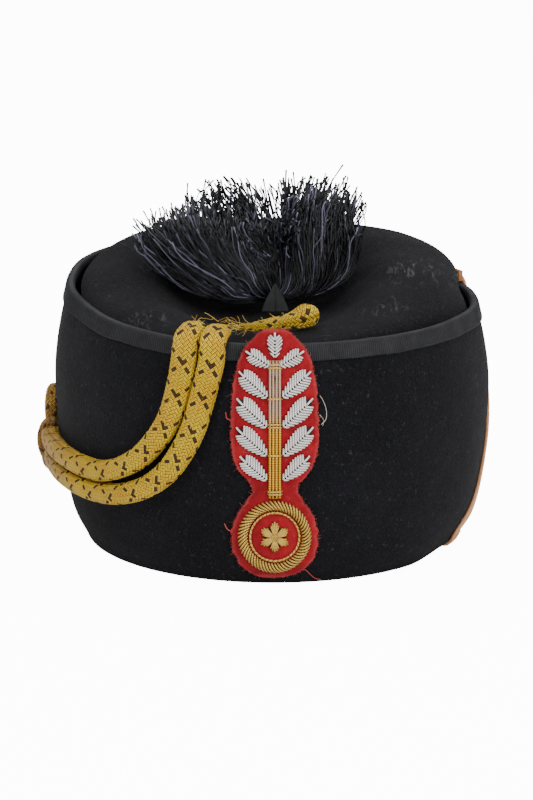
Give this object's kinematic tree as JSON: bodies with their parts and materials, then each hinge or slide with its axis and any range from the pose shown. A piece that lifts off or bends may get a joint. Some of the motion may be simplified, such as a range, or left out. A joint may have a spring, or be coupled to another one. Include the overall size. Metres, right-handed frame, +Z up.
{
  "type": "tasselled felt fez with cord and chin strap",
  "caption": "Soft dark felt fez with a bound cuff, a gold cord swag, an embroidered cloth badge, a silk tassel in the dented crown and a leather chin strap.",
  "frame": {"origin": "middle of the whole hat's plan, cord not counted, in the plane it rests on", "axes": "+Z up, the badge faces -Y, the cord's knot is at -X"},
  "size_m": [0.195, 0.2106, 0.1532],
  "materials": {
    "felt": "matt wool felt",
    "ribbon": "ribbed, soft sheen",
    "gold_cord": "flat braid of gold thread with dark flecks",
    "old_cord": "tarnished gold braid",
    "tip_cord": "gold braid",
    "patch": "matt wool cloth",
    "gold_bullion": "twisted gold thread",
    "silver_bullion": "coiled silver thread",
    "tassel": "silk strands with a sheen",
    "tab": "folded ribbon",
    "leather": "worn smooth leather",
    "keeper_leather": "worn leather"
  },
  "bodies": {
    "root": {"felt_body": "felt", "edge_binding": "ribbon", "cord_front": "gold_cord", "cord_back": "gold_cord", "side_knot": "old_cord", "cord_tip": "tip_cord", "badge_patch": "patch", "badge_ring": "gold_bullion", "badge_thread": "gold_bullion", "badge_rosette": "gold_bullion", "badge_stem": "gold_bullion", "badge_leaf_l1": "silver_bullion", "badge_leaf_r1": "silver_bullion", "badge_leaf_l2": "silver_bullion", "badge_leaf_r2": "silver_bullion", "badge_leaf_l3": "silver_bullion", "badge_leaf_r3": "silver_bullion", "badge_leaf_l4": "silver_bullion", "badge_leaf_r4": "silver_bullion", "badge_leaf_l5": "silver_bullion", "badge_leaf_r5": "silver_bullion", "badge_bud": "silver_bullion", "tassel": "tassel", "tassel_tab": "tab", "chin_strap": "leather", "strap_keeper": "keeper_leather"}
  },
  "joints": []
}
